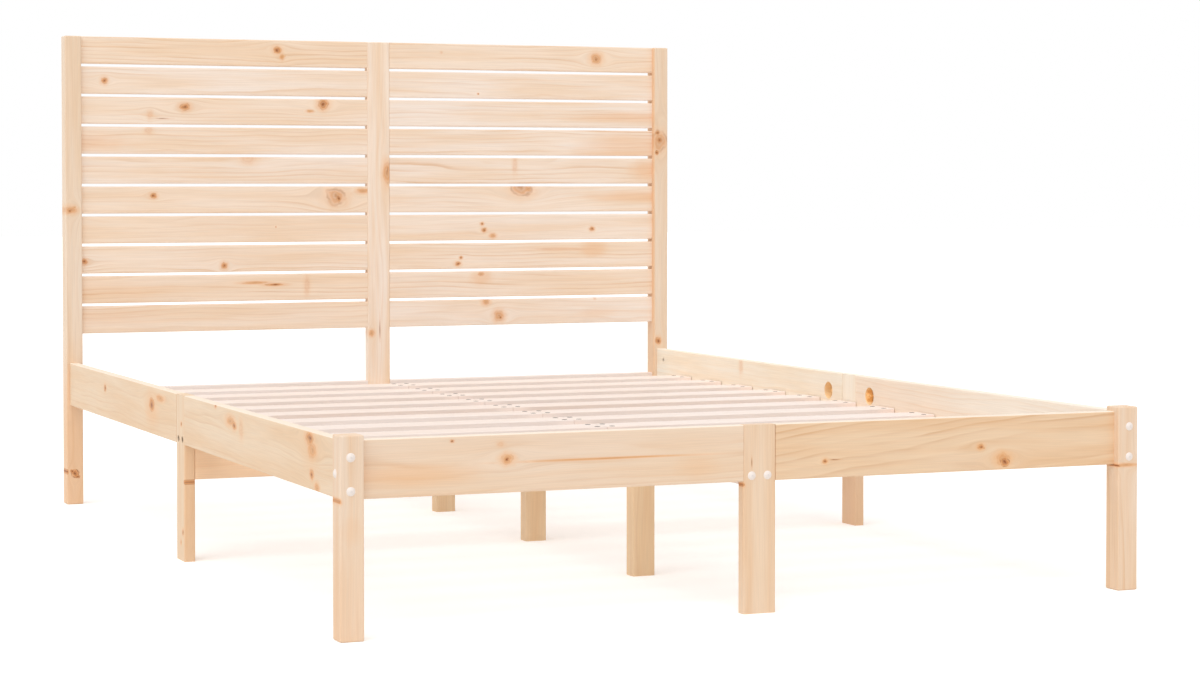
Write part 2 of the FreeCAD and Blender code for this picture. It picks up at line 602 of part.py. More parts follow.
def socket_bolt(name, length):
    """A socket-head bolt along +Z whose head starts at the origin."""
    head = solid(name + "_head", "Part::Cylinder", Radius="boltHeadRadius", Height="boltHeadLength")
    shank = solid(name + "_shank", "Part::Cylinder", Radius="boltRadius", Height=f"boltHeadLength + {length}")
    key = solid(name + "_key", "Part::Prism", Circumradius="socketRadius", Height="socketDepth + cutOverrun")
    key.Polygon = 6
    place(key, "0", "0", "-cutOverrun")
    return cut(name, fuse(name + "_whole", head, shank), key)


def wood_screw(name, radius, head_radius, head_depth, length):
    """A countersunk screw along +Z whose head's flat top is at the origin."""
    head = solid(name + "_head", "Part::Cone", Radius1=head_radius, Radius2=radius, Height=head_depth)
    shank = solid(name + "_shank", "Part::Cylinder", Radius=radius, Height=length)
    whole = fuse(name + "_whole", head, shank)
    arms = []
    for arm, (wide, deep) in enumerate((("slotWidth", head_radius), (head_radius, "slotWidth"))):
        slot = solid(f"{name}_slot_{arm}", "Part::Box", Length=wide, Width=deep,
                     Height="slotDepth + cutOverrun")
        place(slot, f"-{wide} / 2", f"-{deep} / 2", "-cutOverrun")
        arms.append(slot)
    return cut(name, whole, fuse(name + "_cross", *arms))


# Frame bolts at the corners, the centre beam's bolts, the ledge bolts, their barrel nuts and white caps.
def bolts():
    frame_bolt = socket_bolt("frame_bolt", "boltLength")
    beam_bolt = socket_bolt("beam_bolt", "beamBoltLength")
    ledge_bolt = socket_bolt("ledge_bolt", "ledgeBoltLength")
    barrel = solid("barrel", "Part::Cylinder", Radius="nutRadius", Height="nutLength")
    place(barrel, "0", "0", "-nutLength / 2")
    eye = solid("barrel_eye", "Part::Cylinder", Radius="boltRadius + fitClearance", Height="nutRadius * 4")
    place(eye, "0", "nutRadius * 2", "0", turns["-y"])
    nut = cut("barrel_nut", barrel, eye)
    dome = solid("cap_dome", "Part::Sphere",
                 Radius="(capRadius * capRadius + capHeight * capHeight) / (2 * capHeight)")
    place(dome, "0", "0", "(capRadius * capRadius - capHeight * capHeight) / (2 * capHeight)")
    disc = solid("cap_disc", "Part::Cylinder", Radius="capRadius", Height="capHeight")
    place(disc, "0", "0", "-capHeight")
    crown = doc.addObject("Part::Common", "cap_crown")
    crown.Base = dome
    crown.Tool = disc
    plug = solid("cap_plug", "Part::Cylinder", Radius="boltHeadRadius", Height="capPlugLength")
    cap = fuse("cap", crown, plug)

    frame, beams, ledges, nuts, caps = [], [], [], [], []
    recess = "recessDepth - boltHeadLength"
    for side in sides.values():
        for height in ("lowBolt", "highBolt"):
            for way, face, thick in (("+y", "-halfLength", "legSide"), ("-y", "halfLength", "postDepth")):
                mouth = (f"{side} * railMidX", face, height)
                frame.append((frame_bolt, *shift(mouth, way, recess, 1), turns[way]))
                caps.append((cap, *mouth, turns[way]))
                nuts.append((nut, *shift(mouth, way, f"{thick} + nutInset", 1),
                             FreeCAD.Rotation(FreeCAD.Vector(0, 1, 0), 90)))
        way = "+x" if side < 0 else "-x"
        mouth = (f"{side} * halfWidth", "-footRailMidY", "middleBolt")
        frame.append((frame_bolt, *shift(mouth, way, recess, 1), turns[way]))
        caps.append((cap, *mouth, turns[way]))
        upright = FreeCAD.Rotation(FreeCAD.Vector(0, 0, 1), 90)
        nuts.append((nut, *shift(mouth, way, "legSide + nutInset", 1), turns["-y"].multiply(upright)))
        for way, face, thick in (("+y", "-footRailFrontY", "railThickness"),
                                 ("-y", "midPostBackY", "midPostDepth")):
            mouth = (f"{side} * beamBoltSpacing / 2", face, "beamMid")
            beams.append((beam_bolt, *shift(mouth, way, recess, 1), turns[way]))
            caps.append((cap, *mouth, turns[way]))
            nuts.append((nut, *shift(mouth, way, f"{thick} + nutInset", 1), None))
        way = "+x" if side < 0 else "-x"
        for end in ends.values():
            mouth = (f"{side} * railOuterX", f"{end} * ledgeBoltSpacing / 2", "ledgeBolt")
            ledges.append((ledge_bolt, *shift(mouth, way, recess, 1), turns[way]))
    copies("frame_bolts", frame)
    copies("beam_bolts", beams)
    copies("ledge_bolts", ledges)
    copies("barrel_nuts", nuts)
    copies("bolt_caps", caps)


# Rods through the middle legs, with half-moon washers and nuts in the rails' pockets.
def joint_rods():
    rod = solid("rod", "Part::Cylinder", Radius="boltRadius", Height="rodHalf * 2")
    place(rod, "0", "0", "-rodHalf")
    disc = solid("moon_disc", "Part::Cylinder", Radius="pocketRadius - boltClearance", Height="moonHeight")
    place(disc, "0", "0", "-moonHeight / 2")
    slab = solid("moon_slab", "Part::Box", Length="moonThickness", Width="pocketRadius * 2",
                 Height="moonHeight * 2")
    place(slab, "pocketRadius - moonThickness", "-pocketRadius", "-moonHeight")
    moon = doc.addObject("Part::Common", "moon_blank")
    moon.Base = disc
    moon.Tool = slab
    eye = solid("moon_eye", "Part::Cylinder", Radius="boltRadius + boltClearance", Height="pocketRadius * 2")
    place(eye, "0", "0", "0", turns["+x"])
    washer = cut("half_moon", moon, eye)
    blank = solid("hex_blank", "Part::Prism", Circumradius="hexNutRadius", Height="hexNutLength")
    blank.Polygon = 6
    thread = solid("hex_hole", "Part::Cylinder", Radius="boltRadius + fitClearance",
                   Height="hexNutLength + 2 * cutOverrun")
    place(thread, "0", "0", "-cutOverrun")
    nut = cut("hex_nut", blank, thread)

    rods, washers, nuts = [], [], []
    lines = [("y", f"{side} * rodX", "0") for side in sides.values()] + [("x", "0", "-rodY")]
    level = FreeCAD.Rotation(FreeCAD.Vector(1, 0, 0), 90)
    towards_joint = {"-x": 0, "-y": 90, "+x": 180, "+y": 270}
    for axis, x, y in lines:
        middle = (x, y, "pocketMid")
        rods.append((rod, *middle, turns["+" + axis]))
        for sign in ("+", "-"):
            way = sign + axis
            round_side_in = FreeCAD.Rotation(FreeCAD.Vector(0, 0, 1), towards_joint[way]).multiply(level)
            washers.append((washer, *shift(middle, way, "pocketPlace", 1), round_side_in))
            nuts.append((nut, *shift(middle, way, "moonPlace", 1), turns[way]))
    copies("joint_rods", rods)
    copies("joint_washers", washers)
    copies("joint_nuts", nuts)


def dowels():
    pin = doc.addObject("PartDesign::Body", "dowel_pin")
    stick = pin.newObject("PartDesign::AdditiveCylinder", "dowel_stick")
    bind(stick, Radius="dowelRadius", Height="dowelLength")
    doc.recompute()
    bevel = pin.newObject("PartDesign::Chamfer", "dowel_bevel")
    bevel.Base = (stick, ["Edge1", "Edge3"])
    bind(bevel, Size="dowelBevel")
    placed = []
    for side in sides.values():
        for row in range(headSlatRows):
            for step in (-1, 1):
                height = (f"headHeight - headSlatHeight / 2 - headSlatPitch * {row}"
                          f" + {step} * headDowelSpacing / 2")
                for face, way in ((f"{side} * postInnerX", "+x" if side < 0 else "-x"),
                                  (f"{side} * midPostHalf", "-x" if side < 0 else "+x")):
                    start = shift((face, "headMidY", height), way, "headDowelDepth", -1)
                    placed.append((pin, *start, turns[way]))
        low = "headRailTop - headRailDowelDrop"
        for face, way in ((f"{side} * postInnerX", "+x" if side < 0 else "-x"),
                          (f"{side} * midPostHalf", "-x" if side < 0 else "+x")):
            placed.append((pin, *shift((face, "headMidY", low), way, "thinDowelDepth", -1), turns[way]))
        way = "+x" if side < 0 else "-x"
        for end in ends.values():
            point = (f"{side} * railInnerX", "-crossThickness / 2",
                     f"crossBase + crossHeight / 2 + {end} * crossDowelSpacing / 2")
            placed.append((pin, *shift(point, way, "thinDowelDepth", -1), turns[way]))
    copies("dowels", placed)


def screws():
    slat_screw = wood_screw("slat_screw", "screwRadius", "screwHeadRadius", "screwHeadDepth",
                            "slatScrewLength")
    ledge_screw = wood_screw("ledge_screw", "screwRadius", "screwHeadRadius", "screwHeadDepth",
                             "ledgeScrewLength")
    leg_screw = wood_screw("leg_screw", "legScrewRadius", "legScrewHeadRadius", "legScrewHeadDepth",
                           "legScrewLength")
    in_slats, in_ledges, in_beams = [], [], []
    for side in sides.values():
        for end in ends.values():
            for y in slat_screw_places(end):
                for x in (outerScrewX, innerScrewX):
                    in_slats.append((slat_screw, f"{side} * {x}", y, "slatTop - headSink", turns["-z"]))
            for y in ledge_screw_places(end):
                across = "-x" if side < 0 else "+x"
                point = (f"{side} * ledgeInnerX", y, "ledgeMid")
                in_ledges.append((ledge_screw, *shift(point, across, "headSink", 1), turns[across]))
            for x, y in leg_screw_places(end, side):
                in_beams.append((leg_screw, x, y, "slatBase - headSink", turns["-z"]))
        in_beams.append((leg_screw, f"{side} * crossScrewSpacing / 2", "-crossThickness + headSink",
                         "crossBase + crossScrewRise", turns["+y"]))
    copies("slat_screws", in_slats)
    copies("ledge_screws", in_ledges)
    copies("beam_screws", in_beams)


for side_name, side in sides.items():
    foot_leg(side_name, side)
    head_post(side_name, side)
    side_leg(side_name, side)
    foot_rail(side_name, side)
    head_rail(side_name, side)
    cross_beam(side_name, side)
    for end_name, end in ends.items():
        side_rail(side_name, side, end_name, end)
        slat_ledge(side_name, side, end_name, end)
middle_post()
foot_middle_leg()
for end_name, end in ends.items():
    centre_beam(end_name, end)
for name, step in (("foot", -1), ("middle", 0), ("head", 1)):
    centre_leg(name, step)
headboard_slats()
bed_slats()
bolts()
joint_rods()
dowels()
screws()
doc.recompute()

# Nothing is written unless every object is sound.
for item in doc.Objects:
    if "Invalid" in item.State or "Error" in item.State:
        raise RuntimeError(f"{item.Label} failed: {item.State}")
for item in nodes:
    if item.Shape.isNull() or not item.Shape.isValid() or not item.Shape.Solids:
        raise RuntimeError(f"{item.Label} has no sound shape")

os.makedirs("parts", exist_ok=True)
for item in nodes:
    item.Shape.exportStep(f"parts/{item.Label}.step")
print(f"{len(nodes)} nodes, {sum(len(item.Shape.Solids) for item in nodes)} solids")
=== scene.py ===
import math
import bpy
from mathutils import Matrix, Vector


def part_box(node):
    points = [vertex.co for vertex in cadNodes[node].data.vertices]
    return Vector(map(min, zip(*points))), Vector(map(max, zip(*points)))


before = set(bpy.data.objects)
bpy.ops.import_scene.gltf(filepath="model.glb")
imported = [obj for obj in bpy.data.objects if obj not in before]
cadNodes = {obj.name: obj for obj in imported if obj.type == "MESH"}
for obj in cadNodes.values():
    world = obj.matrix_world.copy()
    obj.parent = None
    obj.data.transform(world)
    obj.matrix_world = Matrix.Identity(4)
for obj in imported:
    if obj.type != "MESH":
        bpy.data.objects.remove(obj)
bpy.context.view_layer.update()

# Pine bed frame, planed and sanded, seen from in front of its left foot corner.
# Places on the boards are millimetres in the frame's own axes; meshes are metres.

print("frame loaded:", len(cadNodes), "nodes")

mmPerMetre = 1000


def linearColour(hexText):
    # sRGB hex to the linear values that Blender's sockets take
    values = [int(hexText[i:i + 2], 16) / 255 for i in (1, 3, 5)]
    linear = [v / 12.92 if v <= 0.04045 else ((v + 0.055) / 1.055) ** 2.4 for v in values]
    return (*linear, 1.0)


def addNode(tree, kind, settings=None, links=None):
    # adds one node; capitalised or numbered settings are inputs, the others are the node's own
    made = tree.nodes.new(kind)
    for name, value in (settings or {}).items():
        if isinstance(name, int) or name[0].isupper():
            made.inputs[name].default_value = value
        else:
            setattr(made, name, value)
    for name, source in (links or {}).items():
        tree.links.new(source, made.inputs[name])
    return made.outputs


def newGroup(name, inputs, outputs):
    # an empty node group with its sockets, and the inner ends of its inputs
    tree = bpy.data.node_groups.new(name, "ShaderNodeTree")
    for label, kind in inputs.items():
        tree.interface.new_socket(label, in_out="INPUT", socket_type="NodeSocket" + kind)
    for label, kind in outputs.items():
        tree.interface.new_socket(label, in_out="OUTPUT", socket_type="NodeSocket" + kind)
    return tree, addNode(tree, "NodeGroupInput")


pineLook = {
    "pale": "#FCE6D0",       # early wood
    "blush": "#FDEEE1",      # the paler, pinker boards
    "late": "#E3B588",       # late wood lines
    "warm": "#F3CFA8",       # heartwood bands
    "pocket": "#FFE2B4",     # painted shade and light inside the round pockets: the orange of their shade, lifted pale against the recess's own darkening
    "edge": "#F9EDDD",       # painted light: top edges of the rails, made paler as if lit from above
    "paintedTopLightShare": 0.8,        # how much of that colour the top edges take
    "roughness": 0.56,
    "ior": 1.48,
}

pineGrain = {
    "ringWander": 16.0,            # mm that the rings drift either way over half a metre
    "ringWaver": 4.0,              # mm of finer waver in a ring
    "seedStep": 731.0,             # mm along an endless log from one board to the next
    # place in the ring and how dark it is there: slowly into late wood, which ends sharply
    "ringProfile": ((0.0, 0.0), (0.55, 0.22), (0.86, 1.0), (0.97, 0.1)),
    "ringStrength": (0.25, 1.0),   # of the weakest and the strongest ring
    "fadeLevels": (0.36, 0.66),    # noise between which the lines come back
    "fadedStrength": 0.12,         # what is left of them where they fade
    "warmLevels": (0.38, 0.66),    # noise between which the warm bands come in
    "toneDrift": 1.6,              # how far the tone moves along a board
    "fibreLevels": (0.3, 0.7),     # noise of the darkest and of the palest fibre
    "fibreShade": (0.955, 1.02),   # how much fibres darken and lighten the colour
    "relief": 0.4,                 # mm, depth of the bump
    "reliefStrength": 0.25,
    # mm along the board and across it over which each pattern changes, then its detail and roughness;
    # the fibres are wider than real ones so that they show
    "patterns": {
        "slow": (420, 130, 2.0, 0.45),
        "fine": (90, 26, 2.0, 0.5),
        "fade": (210, 19, 1.0, 0.5),
        "fibre": (70, 1.4, 1.0, 0.5),
        "warm": (360, 24, 3.0, 0.55),
    },
}

# lengths here are shares of the knot's own radius
knotLook = {
    "halo": "#EFB275",       # wood stained round the knot; the same colour paints broad patches of shade
    "body": "#DA9355",
    "dark": "#8E4A1A",       # core and rim
    "haloFade": (0.4, 2.2),  # full inside the first, gone outside the second
    "bodyFade": (0.75, 1.1),
    "coreFade": (0.1, 0.62),
    "rimAt": 0.9,
    "rimWidth": 0.2,
    "rimSide": (0.4, 0.62),  # noise between which the rim comes in, so it stays on one side
    "branchRings": 14.0,     # radians of the branch's rings in one radius
    "branchShade": 0.4,      # what is left of the body's colour between those rings
    "outlineStep": (0.137, 0.291, 0),     # how the outline's noise moves on with each mm to the next knot
    "outlineScale": 0.95,
    "outlineWobble": (1.0, 0.9, 0),
    "flowReach": 1.7,        # square of how far out the grain still bends fully
    "flowStretch": 2.0,      # how much longer than wide that bend is
    "stretch": 1.15,         # how much longer than wide a knot is, unless its line says otherwise
}

# how strong each part of a knot is, and how far it bends the grain: halo, body, core, rim, bend
knotParts = ("Halo amount", "Body amount", "Core amount", "Rim amount", "Bend")
knotKinds = {
    "dark": (0.6, 0.9, 0.85, 0.25, 1.0),
    "black": (0.6, 1.0, 1.0, 0.7, 0.7),
    "orange": (0.6, 0.55, 0.25, 0.1, 0.9),
    "ring": (0.35, 0.5, 0.3, 0.3, 0.8),
    "pale": (0.25, 0.22, 0.0, 0.0, 0.6),
    "pin": (0.2, 0.85, 1.0, 0.0, 0.8),
    "smear": (0.2, 0.24, 0.0, 0.0, 0.0),
    # broad halo-only patches: some are stains round knots, those beside the right headboard post are painted
    # shade
    "stain_and_shade": (0.4, 0.0, 0.0, 0.0, 0.0),
    # painted shade: a broad amber patch where a part stands in shade under the bed
    "deep": (0.6, 0.0, 0.0, 0.0, 0.0),
    "faint": (0.18, 0.0, 0.0, 0.0, 0.0),
    "crack": (0.0, 0.35, 0.75, 0.0, 0.0),
}


def makeGrainGroup():
    # growth rings round a pith line that wanders along the board, cut by the board's faces
    tree, given = newGroup("pineGrain", {
        "Place": "Vector", "Across": "Float", "Seed": "Float",
        "Pith across": "Float", "Pith depth": "Float", "Ring width": "Float", "Slant": "Float",
    }, {"Late": "Float", "Fibre": "Float", "Warm": "Float", "Cloud": "Float"})
    parts = addNode(tree, "ShaderNodeSeparateXYZ", None, {0: given["Place"]})
    seedStep = addNode(tree, "ShaderNodeMath", {"operation": "MULTIPLY", 1: pineGrain["seedStep"]},
                       {0: given["Seed"]})[0]
    along = addNode(tree, "ShaderNodeMath", {"operation": "ADD"}, {0: parts["X"], 1: seedStep})[0]
    moved = addNode(tree, "ShaderNodeCombineXYZ", None,
                    {0: along, 1: given["Across"], 2: parts["Z"]})[0]

    # slow drift of the rings, fine waver, fading lines, short fibres and warm bands
    pattern = {}
    for name, (alongMm, acrossMm, detail, roughness) in pineGrain["patterns"].items():
        steps = (1 / alongMm, 1 / acrossMm, 1 / acrossMm)
        scaled = addNode(tree, "ShaderNodeVectorMath", {"operation": "MULTIPLY", 1: steps}, {0: moved})[0]
        pattern[name] = addNode(tree, "ShaderNodeTexNoise",
                                {"Scale": 1.0, "Detail": detail, "Roughness": roughness},
                                {"Vector": scaled})[0]

    # distance from the pith, which may lie at a slant to the board
    slanted = addNode(tree, "ShaderNodeMath", {"operation": "MULTIPLY_ADD"},
                      {0: parts["X"], 1: given["Slant"], 2: given["Pith across"]})[0]
    fromAcross = addNode(tree, "ShaderNodeMath", {"operation": "SUBTRACT"},
                         {0: given["Across"], 1: slanted})[0]
    fromDepth = addNode(tree, "ShaderNodeMath", {"operation": "SUBTRACT"},
                        {0: parts["Z"], 1: given["Pith depth"]})[0]
    flat = addNode(tree, "ShaderNodeCombineXYZ", None, {0: fromAcross, 1: fromDepth})[0]
    radius = addNode(tree, "ShaderNodeVectorMath", {"operation": "LENGTH"}, {0: flat})["Value"]
    radius = addNode(tree, "ShaderNodeMath", {"operation": "MULTIPLY_ADD", 1: 2 * pineGrain["ringWander"]},
                     {0: pattern["slow"], 2: radius})[0]
    radius = addNode(tree, "ShaderNodeMath", {"operation": "MULTIPLY_ADD", 1: pineGrain["ringWaver"]},
                     {0: pattern["fine"], 2: radius})[0]
    rings = addNode(tree, "ShaderNodeMath", {"operation": "DIVIDE"}, {0: radius, 1: given["Ring width"]})[0]
    ringShare = addNode(tree, "ShaderNodeMath", {"operation": "FRACT"}, {0: rings})[0]
    ringNumber = addNode(tree, "ShaderNodeMath", {"operation": "FLOOR"}, {0: rings})[0]
    ringSeed = addNode(tree, "ShaderNodeMath", {"operation": "ADD"}, {0: ringNumber, 1: given["Seed"]})[0]
    ringStrength = addNode(tree, "ShaderNodeTexWhiteNoise", {"noise_dimensions": "1D"},
                           {"W": ringSeed})["Value"]
    weakest, strongest = pineGrain["ringStrength"]
    ringStrength = addNode(tree, "ShaderNodeMapRange", {"To Min": weakest, "To Max": strongest},
                           {"Value": ringStrength})[0]
    ramp = tree.nodes.new("ShaderNodeValToRGB")
    stops = ramp.color_ramp.elements
    profile = pineGrain["ringProfile"]
    for position, _ in profile[1:-1]:
        stops.new(position)
    for stop, (position, grey) in zip(stops, profile):
        stop.position = position
        stop.color = (grey, grey, grey, 1)
    tree.links.new(ringShare, ramp.inputs[0])
    late = addNode(tree, "ShaderNodeMath", {"operation": "MULTIPLY"},
                   {0: ramp.outputs[0], 1: ringStrength})[0]
    # the lines fade in and out along the board
    low, high = pineGrain["fadeLevels"]
    fade = addNode(tree, "ShaderNodeMapRange",
                   {"From Min": low, "From Max": high, "To Min": pineGrain["fadedStrength"], "To Max": 1.0},
                   {"Value": pattern["fade"]})[0]
    late = addNode(tree, "ShaderNodeMath", {"operation": "MULTIPLY"}, {0: late, 1: fade})[0]
    low, high = pineGrain["warmLevels"]
    warm = addNode(tree, "ShaderNodeMapRange", {"From Min": low, "From Max": high},
                   {"Value": pattern["warm"]})[0]

    ends = tree.nodes.new("NodeGroupOutput")
    results = {"Late": late, "Fibre": pattern["fibre"], "Warm": warm, "Cloud": pattern["slow"]}
    for label, source in results.items():
        tree.links.new(source, ends.inputs[label])
    return tree


def makeKnotGroup():
    # one knot: an uneven spot with core, rim and stained wood round it, and grain that flows past
    chain = {"Flow": "Float", "Halo": "Float", "Body": "Float", "Dark": "Float"}
    tree, given = newGroup("pineKnot", {
        "Place": "Vector", "Centre": "Vector", "Radius": "Float", "Stretch": "Float",
        **{part: "Float" for part in knotParts}, **chain,
    }, chain)
    away = addNode(tree, "ShaderNodeVectorMath", {"operation": "SUBTRACT"},
                   {0: given["Place"], 1: given["Centre"]})[0]
    parts = addNode(tree, "ShaderNodeSeparateXYZ", None, {0: away})
    squeezed = addNode(tree, "ShaderNodeMath", {"operation": "DIVIDE"},
                       {0: parts["X"], 1: given["Stretch"]})[0]
    level = addNode(tree, "ShaderNodeCombineXYZ", None, {0: squeezed, 1: parts["Y"]})[0]
    perRadius = addNode(tree, "ShaderNodeMath", {"operation": "DIVIDE", 0: 1.0}, {1: given["Radius"]})[0]
    unit = addNode(tree, "ShaderNodeVectorMath", {"operation": "SCALE"}, {0: level, "Scale": perRadius})[0]

    # each knot's outline is its own, from noise that grows with the knot
    noisePlace = addNode(tree, "ShaderNodeVectorMath",
                         {"operation": "MULTIPLY_ADD", 1: knotLook["outlineStep"]},
                         {0: given["Centre"], 2: unit})[0]
    noise = addNode(tree, "ShaderNodeTexNoise", {"Scale": knotLook["outlineScale"], "Detail": 2.0},
                    {"Vector": noisePlace})["Color"]
    spread = knotLook["outlineWobble"]
    wobble = addNode(tree, "ShaderNodeVectorMath",
                     {"operation": "MULTIPLY_ADD", 1: spread, 2: [-v / 2 for v in spread]}, {0: noise})[0]
    bent = addNode(tree, "ShaderNodeVectorMath", {"operation": "ADD"}, {0: unit, 1: wobble})[0]
    share = addNode(tree, "ShaderNodeVectorMath", {"operation": "LENGTH"}, {0: bent})["Value"]
    patch = addNode(tree, "ShaderNodeSeparateColor", None, {0: noise})[2]

    # grain flows round the knot as water round a post, over a longer way than the knot's own width
    longWay = addNode(tree, "ShaderNodeVectorMath",
                      {"operation": "MULTIPLY", 1: (1 / knotLook["flowStretch"], 1, 0)}, {0: unit})[0]
    longShare = addNode(tree, "ShaderNodeVectorMath", {"operation": "LENGTH"}, {0: longWay})["Value"]
    near = addNode(tree, "ShaderNodeMath", {"operation": "MULTIPLY"}, {0: longShare, 1: longShare})[0]
    near = addNode(tree, "ShaderNodeMath", {"operation": "DIVIDE", 0: knotLook["flowReach"]}, {1: near})[0]
    near = addNode(tree, "ShaderNodeMath", {"operation": "MINIMUM", 1: 1.0}, {0: near})[0]
    push = addNode(tree, "ShaderNodeMath", {"operation": "MULTIPLY"}, {0: near, 1: parts["Y"]})[0]
    push = addNode(tree, "ShaderNodeMath", {"operation": "MULTIPLY"}, {0: push, 1: given["Bend"]})[0]
    flow = addNode(tree, "ShaderNodeMath", {"operation": "SUBTRACT"}, {0: given["Flow"], 1: push})[0]

    fadeOf = {}
    for name in ("core", "body", "halo"):
        low, high = knotLook[name + "Fade"]
        kind = "SMOOTHSTEP" if name == "halo" else "LINEAR"
        fadeOf[name] = addNode(tree, "ShaderNodeMapRange",
                               {"interpolation_type": kind, "From Min": low, "From Max": high,
                                "To Min": 1.0, "To Max": 0.0}, {"Value": share})[0]
    core = addNode(tree, "ShaderNodeMath", {"operation": "MULTIPLY"},
                   {0: fadeOf["core"], 1: given["Core amount"]})[0]
    fromRim = addNode(tree, "ShaderNodeMath", {"operation": "SUBTRACT", 1: knotLook["rimAt"]}, {0: share})[0]
    fromRim = addNode(tree, "ShaderNodeMath", {"operation": "ABSOLUTE"}, {0: fromRim})[0]
    fromRim = addNode(tree, "ShaderNodeMapRange",
                      {"From Max": knotLook["rimWidth"], "To Min": 1.0, "To Max": 0.0},
                      {"Value": fromRim})[0]
    rimLow, rimHigh = knotLook["rimSide"]
    oneSided = addNode(tree, "ShaderNodeMapRange", {"From Min": rimLow, "From Max": rimHigh},
                       {"Value": patch})[0]
    rim = addNode(tree, "ShaderNodeMath", {"operation": "MULTIPLY"}, {0: fromRim, 1: oneSided})[0]
    rim = addNode(tree, "ShaderNodeMath", {"operation": "MULTIPLY"}, {0: rim, 1: given["Rim amount"]})[0]
    dark = addNode(tree, "ShaderNodeMath", {"operation": "MAXIMUM"}, {0: core, 1: rim})[0]

    # rings of the branch show inside the body
    turn = addNode(tree, "ShaderNodeMath", {"operation": "MULTIPLY", 1: knotLook["branchRings"]},
                   {0: share})[0]
    wave = addNode(tree, "ShaderNodeMath", {"operation": "SINE"}, {0: turn})[0]
    wave = addNode(tree, "ShaderNodeMapRange",
                   {"From Min": -1.0, "To Min": knotLook["branchShade"], "To Max": 1.0}, {"Value": wave})[0]
    body = addNode(tree, "ShaderNodeMath", {"operation": "MULTIPLY"}, {0: fadeOf["body"], 1: wave})[0]
    body = addNode(tree, "ShaderNodeMath", {"operation": "MULTIPLY"},
                   {0: body, 1: given["Body amount"]})[0]
    halo = addNode(tree, "ShaderNodeMath", {"operation": "MULTIPLY"},
                   {0: fadeOf["halo"], 1: given["Halo amount"]})[0]

    # where knots of a board meet, the stronger one shows
    ends = tree.nodes.new("NodeGroupOutput")
    tree.links.new(flow, ends.inputs["Flow"])
    for label, source in (("Halo", halo), ("Body", body), ("Dark", dark)):
        most = addNode(tree, "ShaderNodeMath", {"operation": "MAXIMUM"}, {0: source, 1: given[label]})[0]
        tree.links.new(most, ends.inputs[label])
    return tree


grainGroup = makeGrainGroup()
knotGroup = makeKnotGroup()


def addKnots(tree, local, knots):
    # chains the board's knots, each given as along, across, radius, kind and maybe stretch
    chain = {}
    for along, across, radius, kind, *rest in knots:
        stretch = rest[0] if rest else knotLook["stretch"]
        settings = {"node_tree": knotGroup, "Centre": (along, across, 0), "Radius": radius,
                    "Stretch": stretch, **dict(zip(knotParts, knotKinds[kind]))}
        made = addNode(tree, "ShaderNodeGroup", settings, {"Place": local, **chain})
        chain = {label: made[label] for label in ("Flow", "Halo", "Body", "Dark")}
    return chain


# what a board is unless its own line says otherwise
plainBoard = {
    "look": {},
    "knots": (),
    "pith": (55.0, 40.0),    # mm from the board's middle, across and in depth
    "ringWidth": 7.5,        # mm between growth rings, drawn coarse so that they show
    "slant": 0.0,            # mm that the pith moves across for each mm along
    "tones": (0.4, 0.4),     # left and right of the bed's middle, 0 the pale colour and 1 the blush one
    "splitSeed": 0.0,        # how far the seed moves on at the right of the bed's middle
    "ringContrast": 0.6,
    "warmth": 0.5,
}


def addPaintedTopLight(tree, colour, across, topEdge, look):
    # painted light: a rail's top edge is made paler than its faces, as if lit from above
    onTop = addNode(tree, "ShaderNodeMath", {"operation": "GREATER_THAN", 1: topEdge}, {0: across})[0]
    onTop = addNode(tree, "ShaderNodeMath", {"operation": "MULTIPLY", 1: look["paintedTopLightShare"]}, {0: onTop})[0]
    return addNode(tree, "ShaderNodeMix", {"data_type": "RGBA", 7: linearColour(look["edge"])},
                   {0: onTop, 6: colour})[2]


def addPocket(tree, colour, local, depth, pocket, look):
    # inside the round pocket, below the board's faces, painted shade and light: a warm orange, lifted pale
    away = addNode(tree, "ShaderNodeVectorMath", {"operation": "SUBTRACT", 1: (*pocket["centre"], 0)},
                   {0: local})[0]
    away = addNode(tree, "ShaderNodeVectorMath", {"operation": "MULTIPLY", 1: (1, 1, 0)}, {0: away})[0]
    away = addNode(tree, "ShaderNodeVectorMath", {"operation": "LENGTH"}, {0: away})["Value"]
    inCircle = addNode(tree, "ShaderNodeMath", {"operation": "LESS_THAN", 1: pocket["radius"]}, {0: away})[0]
    fromMiddle = addNode(tree, "ShaderNodeMath", {"operation": "ABSOLUTE"}, {0: depth})[0]
    inBoard = addNode(tree, "ShaderNodeMath", {"operation": "LESS_THAN", 1: pocket["halfBoard"]},
                      {0: fromMiddle})[0]
    share = addNode(tree, "ShaderNodeMath", {"operation": "MULTIPLY"}, {0: inCircle, 1: inBoard})[0]
    return addNode(tree, "ShaderNodeMix", {"data_type": "RGBA", 7: linearColour(look["pocket"])},
                   {0: share, 6: colour})[2]


